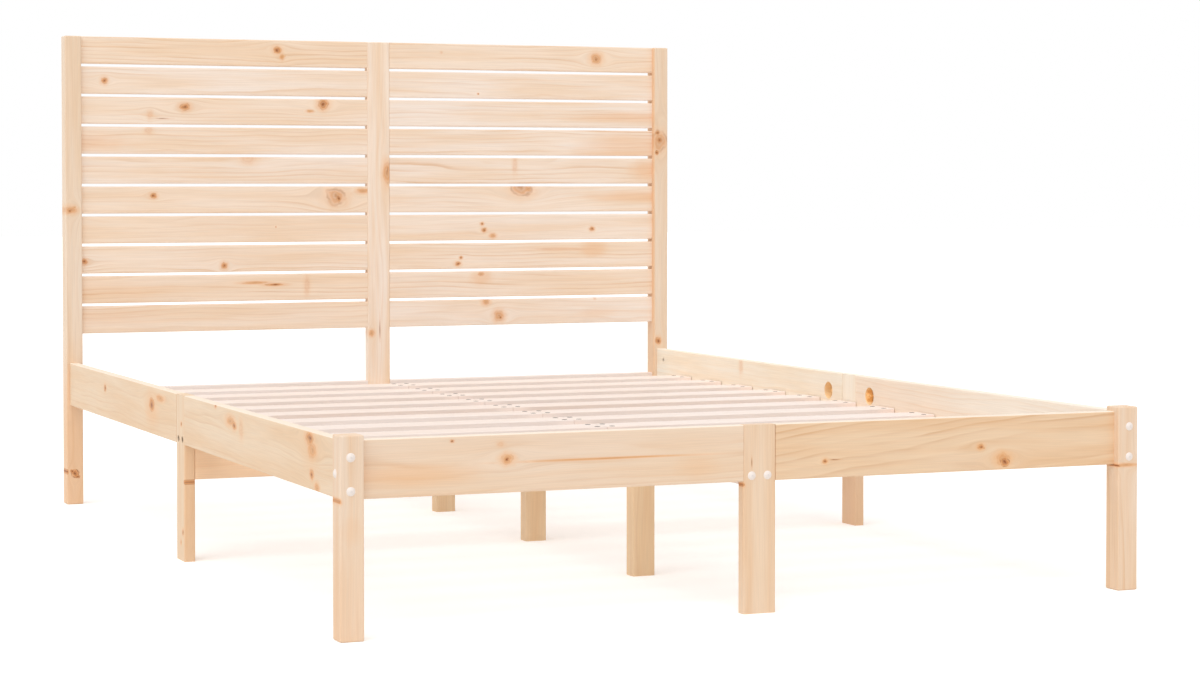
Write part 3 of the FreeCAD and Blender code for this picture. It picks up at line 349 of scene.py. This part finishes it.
def pineMaterial(name, board):
    # Knotty pine, planed and sanded, no finish: pale and matt, with soft rings and orange knots
    material = bpy.data.materials.new(name)
    material.use_nodes = True
    tree = material.node_tree
    tree.nodes.clear()
    look = {**pineLook, **board["look"]}
    place = addNode(tree, "ShaderNodeTexCoord")["Object"]
    toMm = (mmPerMetre, mmPerMetre, mmPerMetre)
    centre = [-mmPerMetre * v for v in board["centre"]]
    place = addNode(tree, "ShaderNodeVectorMath", {"operation": "MULTIPLY_ADD", 1: toMm, 2: centre},
                    {0: place})[0]
    parts = addNode(tree, "ShaderNodeSeparateXYZ", None, {0: place})
    along, across, depth = board["axes"]
    local = addNode(tree, "ShaderNodeCombineXYZ", None,
                    {0: parts[along], 1: parts[across], 2: parts[depth]})[0]

    # nodes with a left and a right board take another seed and tone on the right
    rightHalf = addNode(tree, "ShaderNodeMath", {"operation": "GREATER_THAN", 1: 0.0}, {0: parts["X"]})[0]
    seed = addNode(tree, "ShaderNodeMath",
                   {"operation": "MULTIPLY_ADD", 1: board["splitSeed"], 2: board["seed"]},
                   {0: rightHalf})[0]
    leftTone, rightTone = board["tones"]
    tone = addNode(tree, "ShaderNodeMath",
                   {"operation": "MULTIPLY_ADD", 1: rightTone - leftTone, 2: leftTone}, {0: rightHalf})[0]

    knots = addKnots(tree, local, board["knots"])
    acrossNow = parts[across]
    if knots:
        acrossNow = addNode(tree, "ShaderNodeMath", {"operation": "ADD"}, {0: acrossNow, 1: knots["Flow"]})[0]
    pithAcross, pithDepth = board["pith"]
    grain = addNode(tree, "ShaderNodeGroup",
                    {"node_tree": grainGroup, "Pith across": pithAcross, "Pith depth": pithDepth,
                     "Ring width": board["ringWidth"], "Slant": board["slant"]},
                    {"Place": local, "Across": acrossNow, "Seed": seed})

    # the tone drifts along the board, as heartwood and sapwood come and go
    drift = pineGrain["toneDrift"]
    tone = addNode(tree, "ShaderNodeMath", {"operation": "MULTIPLY_ADD", 1: drift},
                   {0: grain["Cloud"], 2: tone})[0]
    tone = addNode(tree, "ShaderNodeMath", {"operation": "SUBTRACT", 1: drift / 2}, {0: tone})[0]
    colour = addNode(tree, "ShaderNodeMix",
                     {"data_type": "RGBA", 6: linearColour(look["pale"]), 7: linearColour(look["blush"])},
                     {0: tone})[2]
    for label, strength, tint in (("Late", board["ringContrast"], "late"),
                                  ("Warm", board["warmth"], "warm")):
        share = addNode(tree, "ShaderNodeMath", {"operation": "MULTIPLY", 1: strength}, {0: grain[label]})[0]
        colour = addNode(tree, "ShaderNodeMix", {"data_type": "RGBA", 7: linearColour(look[tint])},
                         {0: share, 6: colour})[2]
    low, high = pineGrain["fibreLevels"]
    darkest, palest = pineGrain["fibreShade"]
    fibreShade = addNode(tree, "ShaderNodeMapRange",
                         {"From Min": low, "From Max": high, "To Min": darkest, "To Max": palest},
                         {"Value": grain["Fibre"]})[0]
    colour = addNode(tree, "ShaderNodeVectorMath", {"operation": "SCALE"},
                     {0: colour, "Scale": fibreShade})[0]
    if knots:
        for label, tint in (("Halo", "halo"), ("Body", "body"), ("Dark", "dark")):
            colour = addNode(tree, "ShaderNodeMix", {"data_type": "RGBA", 7: linearColour(knotLook[tint])},
                             {0: knots[label], 6: colour})[2]
    # painted light on the rails' top edges
    if "topEdge" in board:
        colour = addPaintedTopLight(tree, colour, parts[across], board["topEdge"], look)
    # painted shade and light in the round joint pockets
    if "pocket" in board:
        colour = addPocket(tree, colour, local, parts[depth], board["pocket"], look)

    relief = addNode(tree, "ShaderNodeMath", {"operation": "ADD"}, {0: grain["Late"], 1: grain["Fibre"]})[0]
    bump = addNode(tree, "ShaderNodeBump", {"Strength": pineGrain["reliefStrength"],
                                            "Distance": pineGrain["relief"] / mmPerMetre},
                   {"Height": relief})[0]
    wood = addNode(tree, "ShaderNodeBsdfPrincipled", {"Roughness": look["roughness"], "IOR": look["ior"]},
                   {"Base Color": colour, "Normal": bump})[0]
    addNode(tree, "ShaderNodeOutputMaterial", None, {"Surface": wood})
    return material


def dress(nodeName, material):
    # gives a CAD node its material in every slot
    slots = cadNodes[nodeName].data.materials
    if not slots:
        slots.append(material)
    for index in range(len(slots)):
        slots[index] = material


def centreOf(nodeName):
    low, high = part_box(nodeName)
    return [(a + b) / 2 for a, b in zip(low, high)]


# mm, the round joint pockets beside the middle legs: radius a little past the cut, halfBoard just
# within the board's faces
jointPocket = {"along": 87.5, "across": 264.0, "radius": 17.8, "halfBoard": 9.9}


def dressBoard(nodeName, axes, seed, **choices):
    # axes: along, across and depth; knots are mm from the frame's origin, along and across;
    # pocketWay is the side of the middle leg, -1 or 1, on which the board has its pocket
    centre = centreOf(nodeName)
    order = ["XYZ".index(letter) for letter in axes]
    board = {**plainBoard, **choices, "centre": centre, "axes": order, "seed": seed}
    alongStart, acrossStart = (mmPerMetre * centre[axis] for axis in order[:2])
    board["knots"] = [(along - alongStart, across - acrossStart, *rest)
                      for along, across, *rest in board["knots"]]
    if "pocketWay" in board:
        spot = (board["pocketWay"] * jointPocket["along"] - alongStart,
                jointPocket["across"] - acrossStart)
        board["pocket"] = {**jointPocket, "centre": spot}
    dress(nodeName, pineMaterial("pine_planed_" + nodeName, board))


# headboard slats, top row first: tones of the left and right board, how much the rings show, knots; the long
# patches at the right ends of rows three to six are painted shade where the slats meet the right post
headboardRows = [
    ((0.1, 0.2), 0.9, [
        (-233, 978, 8, "dark"), (-222, 963, 6, "orange", 0.8), (526, 972, 12, "orange"),
        (526, 970, 4, "dark"), (149, 980, 2.5, "pale")]),
    ((0.7, 0.7), 0.5, [
        (-616, 906, 7, "dark", 1.0), (237, 888, 2, "dark")]),
    ((0.3, 0.9), 0.8, [
        (-440, 851, 8, "dark", 1.5), (-517, 834, 9, "pale", 0.7), (-490, 826, 2, "crack", 14.0),
        (-128, 861, 11, "dark"), (-158, 845, 3, "orange", 2.4), (600, 838, 9, "stain_and_shade", 9.0)]),
    ((0.5, 0.7), 0.9, [
        (-520, 800, 8, "smear"), (-655, 772, 14, "stain_and_shade", 4.0), (600, 765, 24, "stain_and_shade", 3.0)]),
    ((0.7, 0.8), 0.9, [
        (-300, 741, 13, "pale", 1.5), (326, 730, 20, "smear", 0.3), (650, 716, 14, "stain_and_shade", 2.0)]),
    ((0.1, 0.4), 0.6, [
        (-99, 656, 20, "ring", 1.15), (-93, 652, 8, "dark", 0.7), (-36, 669, 5, "orange", 3.0),
        (-510, 659, 6, "dark", 1.2), (341, 677, 21, "ring", 1.2), (358, 673, 6, "orange"),
        (620, 655, 9, "stain_and_shade", 8.0)]),
    ((0.2, 0.6), 0.5, [
        (-237, 590, 2, "dark", 0.6), (246, 594, 3.5, "dark"), (251, 580, 5, "dark"),
        (272, 567, 5, "orange", 1.5), (516, 581, 5, "dark", 1.2)]),
    ((0.3, 0.2), 0.7, [
        (-661, 518, 6, "dark"), (-354, 506, 8, "dark", 0.9), (195, 518, 3.5, "dark"),
        (188, 504, 5, "dark", 1.4), (440, 535, 4, "smear", 18.0), (520, 536, 13, "stain_and_shade", 1.8)]),
    ((0.0, 0.3), 0.9, [
        (-240, 463, 3, "dark", 7.0), (-285, 468, 3, "orange", 9.0), (-166, 461, 19, "smear", 0.35),
        (-650, 458, 18, "faint", 6.0), (245, 474, 13, "stain_and_shade", 1.4), (243, 480, 5, "orange", 1.6)]),
    ((0.0, 0.9), 0.75, [
        (-660, 400, 18, "faint", 6.0), (255, 417, 7, "orange", 1.3), (287, 385, 12, "orange", 1.0),
        (290, 381, 4, "dark"), (523, 420, 3, "pale"), (530, 388, 8, "faint", 4.0)]),
]
# mm from a board's middle: nearest, how much further at most, and how deep; step spreads the rows
headboardPith = {"near": 26, "further": 60, "step": 0.618, "deep": 42, "shallower": 9}
for row, (tones, ringContrast, knots) in enumerate(headboardRows, start=1):
    # the pith lies above one board and below the next
    pithWay = 1 if row % 2 else -1
    pithAcross = headboardPith["near"] + headboardPith["further"] * (row * headboardPith["step"] % 1)
    pithDepth = headboardPith["deep"] - headboardPith["shallower"] * (row % 3)
    dressBoard(f"headboard_slat_row_{row:02d}", "XZY", 3.1 * row, splitSeed=5.0, knots=knots, tones=tones,
               ringContrast=ringContrast, pith=(pithWay * pithAcross, pithDepth))
print("headboard slats dressed")

# some boards are deeper in colour than the headboard's, and the bed slats are palest; the deeper amber of the
# parts under the bed is partly painted shade
footLook = {"pale": "#EFD0AE", "blush": "#F1DAC4", "late": "#D9A573", "warm": "#E7BA8C"}
sideLook = {"pale": "#F2D9BE", "blush": "#F4E1CE", "late": "#DDB187", "warm": "#EAC59D"}
# partly painted light: the right rails, seen from inside, are made much paler than the left ones, up to the
# brightness their inner face has in the light
rightRailLook = {"pale": "#FDF1DD", "blush": "#FFF9EE", "late": "#F0D3AE", "warm": "#FAE6CA"}
paleRailLook = {"pale": "#FFF5E6", "blush": "#FFF8EC", "late": "#F0D2AF", "warm": "#FAE2C8"}
streakLook = {**footLook, "late": "#CC9460"}
railLook = {"pale": "#EED2B2", "blush": "#EED8BE", "late": "#D8AB7D", "warm": "#E6BD91"}
# partly painted shade: the cross beams and middle legs, under the bed, take the deeper amber their shade has
amberLook = {"pale": "#FCD5AE", "blush": "#FCDAB8", "late": "#E6AE78", "warm": "#F5C698"}
underLook = {"pale": "#FADBB3", "blush": "#FADFBD", "late": "#E2B07C", "warm": "#F3C896"}
slatLook = {"pale": "#F5E6DC", "blush": "#F8ECE6", "late": "#E6D2C4", "warm": "#EFDACC"}

# the boards that stand in pairs, each side with its own knots and colour
sideBoards = {
    "left": {
        "headboard_post": {
            "look": sideLook, "ringContrast": 0.4,
            "knots": [(629, -692, 13, "orange", 0.6), (627, -694, 4, "dark", 1.0),
                      (635, -684, 4, "orange", 0.4), (66, -686, 9, "black", 1.0), (71, -692, 5, "black", 0.9),
                      (59, -680, 5, "black", 0.8), (70, -702, 3, "black", 2.0), (92, -684, 12, "stain_and_shade", 1.6),
                      (100, -683, 95, "stain_and_shade", 1.4)],
        },
        "foot_leg": {
            "look": footLook, "ringContrast": 0.15, "tones": (0.75, 0.75),
            "knots": [(211, -704, 4, "dark", 1.0), (165, -683, 14, "faint"), (0, -690, 40, "faint", 2.5)],
        },
        "side_leg": {
            "look": railLook, "ringContrast": 0.3,
            "knots": [(249, -7, 5, "dark", 0.8), (53, -17, 5, "dark", 1.2), (33, -2, 4, "orange"),
                      (145, -30, 6, "black", 0.75), (110, -34, 8, "stain_and_shade", 14.0)],
        },
        "foot_rail": {
            "look": footLook, "tones": (0.8, 0.8), "ringContrast": 0.4, "slant": 0.03, "warmth": 0.25,
            "knots": [(-520, 294.5, 2.8, "pin", 1.4), (-431, 263.5, 4, "pin", 1.5),
                      (-430, 264, 8, "orange", 1.3), (-441, 287, 4, "pale", 1.5),
                      (-262, 258.5, 1.6, "orange", 80.0), (-108, 240, 14, "faint", 1.6),
                      (-590, 246, 12, "stain_and_shade", 6.0)],
        },
        "side_rail_foot": {
            "look": railLook, "warmth": 0.5,
            "knots": [(-247, 300, 3.5, "dark", 2.0), (-345, 281, 8, "orange", 3.0),
                      (-368, 275, 7, "dark", 1.8), (-412, 272, 16, "smear", 0.8),
                      (-812, 272, 26, "faint", 1.4), (-808, 292, 12, "dark", 1.7),
                      (-820, 274, 14, "orange", 1.5), (-818, 236, 8, "dark", 1.3),
                      (-845, 218, 7, "orange", 1.6)],
        },
        "side_rail_head": {
            "look": railLook, "warmth": 0.5,
            "knots": [(611, 272, 6.5, "black", 1.4), (217, 262, 24, "stain_and_shade", 1.5),
                      (217, 268, 13, "dark", 1.7), (150, 284, 6, "orange", 5.0)],
        },
    },
    "right": {
        "headboard_post": {
            "look": sideLook, "ringContrast": 0.4,
            "knots": [(783, 682, 19, "ring", 1.35), (803, 677, 6, "dark", 0.8), (786, 682, 7, "dark"),
                      # the long narrow patch at 667.5 across is painted shade on the post's side face, beside
                      # the slat ends
                      (757, 675, 5, "black"), (320, 679, 7, "dark", 1.2), (640, 667.5, 2.2, "stain_and_shade", 280.0)],
        },
        "foot_leg": {
            "look": footLook, "ringContrast": 0.6, "tones": (0.6, 0.6),
            "knots": [(212, 676, 24, "orange", 0.12), (211, 665, 4, "black", 0.6)],
        },
        "side_leg": {
            "look": rightRailLook, "ringContrast": 0.3,
            # painted shade: the deep patch makes the leg's lower part amber, where it stands in shade under
            # the bed
            "knots": [(40, 0, 80, "deep")],
        },
        "foot_rail": {
            "look": streakLook, "tones": (0.0, 0.0), "ringContrast": 0.95, "slant": 0.11, "warmth": 0.65,
            "knots": [(117, 239, 4, "dark", 1.2), (134, 241, 1.6, "crack", 9.0), (406, 251, 5, "dark", 1.3),
                      (452, 225, 8, "black"), (448, 229, 11, "orange")],
        },
        "side_rail_foot": {
            "look": paleRailLook, "warmth": 0.15,
            "knots": [(-150, 257, 60, "faint", 4.0)],
        },
        "side_rail_head": {
            "look": rightRailLook, "warmth": 0.75,
            "knots": [(498, 288, 16, "smear", 0.6)],
        },
    },
}
railEdge = {"topEdge": 44}     # mm above a rail's middle, where its top edge starts
plainSlat = {"look": slatLook, "warmth": 0.3}

for side, sign in (("left", -1), ("right", 1)):
    boards = sideBoards[side]
    dressBoard(f"headboard_post_{side}", "ZXY", 41 + sign, pith=(46 * sign, 30), **boards["headboard_post"])
    dressBoard(f"foot_leg_{side}", "ZXY", 51 + sign, pith=(-40 * sign, 34), **boards["foot_leg"])
    dressBoard(f"side_leg_{side}", "ZYX", 61 + sign, pith=(49, 34), **boards["side_leg"])
    dressBoard(f"foot_rail_{side}", "XZY", 71 + sign, pith=(-34 * sign, 38), ringWidth=9, pocketWay=sign,
               **railEdge, **boards["foot_rail"])
    dressBoard(f"head_rail_{side}", "XZY", 81 + sign, ringContrast=0.4, **plainSlat)
    dressBoard(f"cross_beam_{side}", "XZY", 91 + sign, look=amberLook, ringContrast=0.3)
    for end, way in (("foot", -1), ("head", 1)):
        dressBoard(f"side_rail_{side}_{end}", "YZX", 104 + 3 * way + sign, pith=(-46 * sign, 40 * sign),
                   ringContrast=0.5, pocketWay=way, **railEdge, **boards["side_rail_" + end])
        dressBoard(f"slat_ledge_{side}_{end}", "YZX", 124 + 3 * way + sign, **plainSlat)
dressBoard("headboard_post_middle", "ZXY", 40, pith=(44, 36), ringContrast=0.4, warmth=0.7,
           knots=[(709, 20, 10, "orange", 2.4), (716, 21, 2, "crack", 8.0), (352, -17, 6, "orange"),
                  (362, 2, 2.5, "crack", 14.0)])
dressBoard("foot_leg_middle", "ZXY", 50, pith=(-46, 36), look=footLook, tones=(0.4, 0.4), ringContrast=0.35,
           knots=[(242, -14, 2, "crack", 6.0), (207, -30, 3.5, "black", 1.0)])
for mark, end in enumerate(("foot", "middle", "head")):
    dressBoard(f"center_leg_{end}", "ZXY", 60 + mark, pith=(33, 30), look=underLook, ringContrast=0.35)
for mark, end in enumerate(("foot", "head")):
    dressBoard(f"center_beam_{end}", "YXZ", 66 + mark, ringContrast=0.4, **plainSlat)
for row in range(1, 12):
    dressBoard(f"bed_slat_row_{row:02d}", "XYZ", 140 + 3.7 * row, splitSeed=5.0, pith=(45, 30),
               ringContrast=0.4, **plainSlat)
print("boards dressed")

hardware = {
    # moulded: soft sheen, with a greyer gate mark on the crown
    "white_polyethylene_moulded": {
        "colour": "#F2E7E0", "gate": "#E2D8D2", "roughness": 0.5, "nodes": ["bolt_caps"],
    },
    # plated: bright bluish grey
    "steel_zinc_plated": {
        "colour": "#B9BBBD", "metallic": 1.0, "roughness": 0.34,
        "nodes": ["frame_bolts", "beam_bolts", "barrel_nuts", "beam_screws"],
    },
    # plated and passivated: brassy gold, kept pale as painted light against the shade inside the round
    # pockets
    "steel_yellow_passivated": {
        "colour": "#FFE0AE", "metallic": 1.0, "roughness": 0.5,
        "nodes": ["joint_rods", "joint_washers", "joint_nuts"],
    },
    # phosphate coating: dull black, nearly without shine
    "steel_black_phosphate": {
        "colour": "#171412", "specular": 0.0, "roughness": 0.9,
        "nodes": ["slat_screws", "ledge_screws", "ledge_bolts"],
    },
    # turned hardwood: plain tan
    "beech_turned": {"colour": "#D9B48C", "roughness": 0.6, "nodes": ["dowels"]},
}
smallSurface = {
    "grain": 2.5,            # mm, size of the uneven patches
    "roughnessSpread": 0.06,
    "relief": 0.1,           # mm
    "reliefStrength": 0.1,
    "crownFrom": (0.975, 0.99),    # how squarely the crown faces along X or Y, at its rim and within
}


def smallPartMaterial(name, choice):
    # a little uneven roughness, and a gate mark where a moulding has one
    material = bpy.data.materials.new(name)
    material.use_nodes = True
    tree = material.node_tree
    tree.nodes.clear()
    place = addNode(tree, "ShaderNodeTexCoord")["Object"]
    cloud = addNode(tree, "ShaderNodeTexNoise",
                    {"Scale": mmPerMetre / smallSurface["grain"], "Detail": 3.0}, {"Vector": place})[0]
    spread = smallSurface["roughnessSpread"]
    rough = addNode(tree, "ShaderNodeMapRange",
                    {"To Min": choice["roughness"] - spread, "To Max": choice["roughness"] + spread},
                    {"Value": cloud})[0]
    bump = addNode(tree, "ShaderNodeBump",
                   {"Strength": smallSurface["reliefStrength"],
                    "Distance": smallSurface["relief"] / mmPerMetre}, {"Height": cloud})[0]
    colour = linearColour(choice["colour"])
    settings = {"Base Color": colour, "Metallic": choice.get("metallic", 0.0),
                "Specular IOR Level": choice.get("specular", 0.5)}
    links = {"Roughness": rough, "Normal": bump}
    if "gate" in choice:
        # the crown of a cap faces along X or Y, and so does nothing else of it
        facing = addNode(tree, "ShaderNodeVectorMath", {"operation": "ABSOLUTE"},
                         {0: addNode(tree, "ShaderNodeNewGeometry")["Normal"]})[0]
        facing = addNode(tree, "ShaderNodeSeparateXYZ", None, {0: facing})
        crown = addNode(tree, "ShaderNodeMath", {"operation": "MAXIMUM"}, {0: facing[0], 1: facing[1]})[0]
        edge, middle = smallSurface["crownFrom"]
        mark = addNode(tree, "ShaderNodeMapRange", {"From Min": edge, "From Max": middle},
                       {"Value": crown})[0]
        links["Base Color"] = addNode(tree, "ShaderNodeMix",
                                      {"data_type": "RGBA", 6: colour, 7: linearColour(choice["gate"])},
                                      {0: mark})[2]
    surface = addNode(tree, "ShaderNodeBsdfPrincipled", settings, links)[0]
    addNode(tree, "ShaderNodeOutputMaterial", None, {"Surface": surface})
    return material


for name, choice in hardware.items():
    material = smallPartMaterial(name, choice)
    for nodeName in choice["nodes"]:
        dress(nodeName, material)
print("hardware dressed")

studio = {
    "floorSize": 60.0,
    "floorColour": "#F7F6F4",
    "floorLift": 0.27,     # added white where the camera sees the floor
    "sky": 0.62,
    # one broad soft lamp from the left of the camera: how far round, how high, how wide, how strong
    "lamp": {"turn": -45.0, "rise": 62.0, "spread": 60.0, "strength": 1.65, "place": (-3.0, -3.0, 3.0)},
}


def makeFloor():
    # matt white paper; the camera and reflections see it lighter than the light it gives the wood
    half = studio["floorSize"] / 2
    mesh = bpy.data.meshes.new("studioFloor")
    corners = [(-half, -half, 0), (half, -half, 0), (half, half, 0), (-half, half, 0)]
    mesh.from_pydata(corners, [], [(0, 1, 2, 3)])
    floor = bpy.data.objects.new("studioFloor", mesh)
    bpy.context.scene.collection.objects.link(floor)
    material = bpy.data.materials.new("paper_floor_matt_white")
    material.use_nodes = True
    tree = material.node_tree
    tree.nodes.clear()
    paper = addNode(tree, "ShaderNodeBsdfDiffuse", {"Color": linearColour(studio["floorColour"])})[0]
    path = addNode(tree, "ShaderNodeLightPath")
    seen = addNode(tree, "ShaderNodeMath", {"operation": "MAXIMUM"},
                   {0: path["Is Camera Ray"], 1: path["Is Glossy Ray"]})[0]
    lift = addNode(tree, "ShaderNodeMath", {"operation": "MULTIPLY", 1: studio["floorLift"]}, {0: seen})[0]
    glow = addNode(tree, "ShaderNodeEmission", None, {"Strength": lift})[0]
    both = addNode(tree, "ShaderNodeAddShader", None, {0: paper, 1: glow})[0]
    addNode(tree, "ShaderNodeOutputMaterial", None, {"Surface": both})
    mesh.materials.append(material)


def makeWorld():
    # pure white to the camera and reflections, less bright as light on the wood
    world = bpy.data.worlds.new("studioWorld")
    bpy.context.scene.world = world
    world.use_nodes = True
    tree = world.node_tree
    tree.nodes.clear()
    path = addNode(tree, "ShaderNodeLightPath")
    seen = addNode(tree, "ShaderNodeMath", {"operation": "MAXIMUM"},
                   {0: path["Is Camera Ray"], 1: path["Is Glossy Ray"]})[0]
    seen = addNode(tree, "ShaderNodeMath", {"operation": "MAXIMUM"},
                   {0: seen, 1: path["Is Transmission Ray"]})[0]
    strength = addNode(tree, "ShaderNodeMapRange", {"To Min": studio["sky"], "To Max": 1.0},
                       {"Value": seen})[0]
    sky = addNode(tree, "ShaderNodeBackground", {"Color": (1, 1, 1, 1)}, {"Strength": strength})[0]
    addNode(tree, "ShaderNodeOutputWorld", None, {"Surface": sky})


def makeLamp():
    choice = studio["lamp"]
    lamp = bpy.data.lights.new("softLamp", "SUN")
    lamp.angle = math.radians(choice["spread"])
    lamp.energy = choice["strength"]
    holder = bpy.data.objects.new("softLamp", lamp)
    holder.location = choice["place"]
    holder.rotation_euler = (math.radians(90 - choice["rise"]), 0, math.radians(choice["turn"]))
    bpy.context.scene.collection.objects.link(holder)


def makeCamera():
    # the photograph keeps upright edges parallel, so part of the fall of view is lens shift
    view = {
        "lens": 83.033, "sensor": 36, "place": (-1.9422, -4.9265, 0.6871),
        "down": 1.6, "turn": 22.8416, "shift": -0.0662,
    }
    camera = bpy.data.cameras.new("photoCamera")
    camera.lens = view["lens"]
    camera.sensor_width = view["sensor"]
    camera.shift_y = view["shift"]
    holder = bpy.data.objects.new("photoCamera", camera)
    holder.location = view["place"]
    holder.rotation_euler = (math.radians(90 - view["down"]), 0, math.radians(-view["turn"]))
    bpy.context.scene.collection.objects.link(holder)
    bpy.context.scene.camera = holder


makeFloor()
makeWorld()
makeLamp()
makeCamera()
bpy.context.scene.view_settings.view_transform = "Standard"
print("studio ready")
